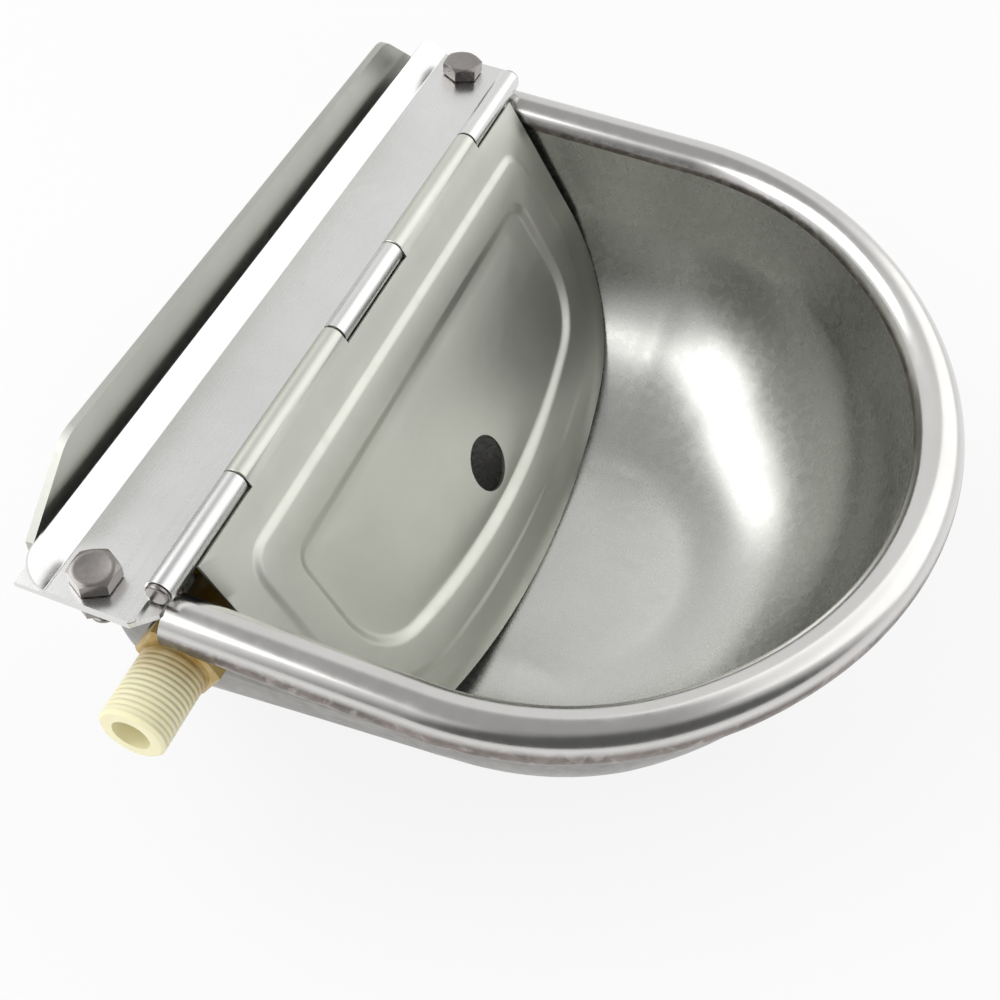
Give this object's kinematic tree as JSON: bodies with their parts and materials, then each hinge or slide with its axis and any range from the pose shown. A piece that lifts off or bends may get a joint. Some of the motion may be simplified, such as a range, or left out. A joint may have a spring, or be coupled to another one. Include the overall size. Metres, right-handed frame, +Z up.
{
  "type": "livestock drinking bowl",
  "caption": "Wall-mounted D-shaped livestock drinking bowl with rolled rim, float valve with side inlet and hinged float cover.",
  "frame": {"origin": "on the wall behind the back plate, level with the top of the rim and midway along the hinge", "axes": "+Y into the wall, +X along the wall to the right seen from in front, +Z up"},
  "size_m": [0.2975, 0.24, 0.122],
  "materials": {
    "bowl_steel": "satin drawn stainless",
    "plate_steel": "fine brushed stainless",
    "cover_steel": "satin stainless",
    "bolt_steel": "bright stainless",
    "nylon": "satin off-white nylon",
    "black_rubber": "matt",
    "float_plastic": "satin moulded plastic",
    "brass": "turned"
  },
  "bodies": {
    "bowl": {"bowl": "bowl_steel", "bowl_rim": "bowl_steel", "back_plate": "plate_steel", "rear_ledge": "plate_steel", "hinge_leaf": "plate_steel", "hinge_pin": "bolt_steel", "cover_bolt_left": "bolt_steel", "cover_bolt_right": "bolt_steel", "weld_nut_left": "bolt_steel", "weld_nut_right": "bolt_steel", "valve_body": "nylon", "lock_nut": "nylon", "seal_washer_outer": "black_rubber", "seal_washer_inner": "black_rubber", "valve_seat": "brass", "lever_pin": "bolt_steel"},
    "cover": {"baffle": "cover_steel"},
    "float_arm": {"lever": "nylon", "float_rod": "brass", "float": "float_plastic", "float_nut": "brass"},
    "plunger": {"plunger": "nylon", "plunger_seal": "black_rubber"}
  },
  "joints": [
    {"name": "cover_hinge", "type": "hinge", "parent": "bowl", "child": "cover", "pos_m": [0, -0.0422, 0.0045], "axis": [-1, 0, 0], "range_deg": [0, 160]},
    {"name": "float_pivot", "type": "hinge", "parent": "bowl", "child": "float_arm", "pos_m": [-0.0874, -0.043, -0.039], "axis": [0, -1, 0], "range_deg": [0, 22]},
    {"name": "plunger_slide", "type": "slide", "parent": "bowl", "child": "plunger", "axis": [-1, 0, 0], "range_m": [0, 0.0032]}
  ],
  "couplings": [
    {"joint": "plunger_slide", "follows": "float_pivot", "m_per_rad": 0.008333}
  ]
}
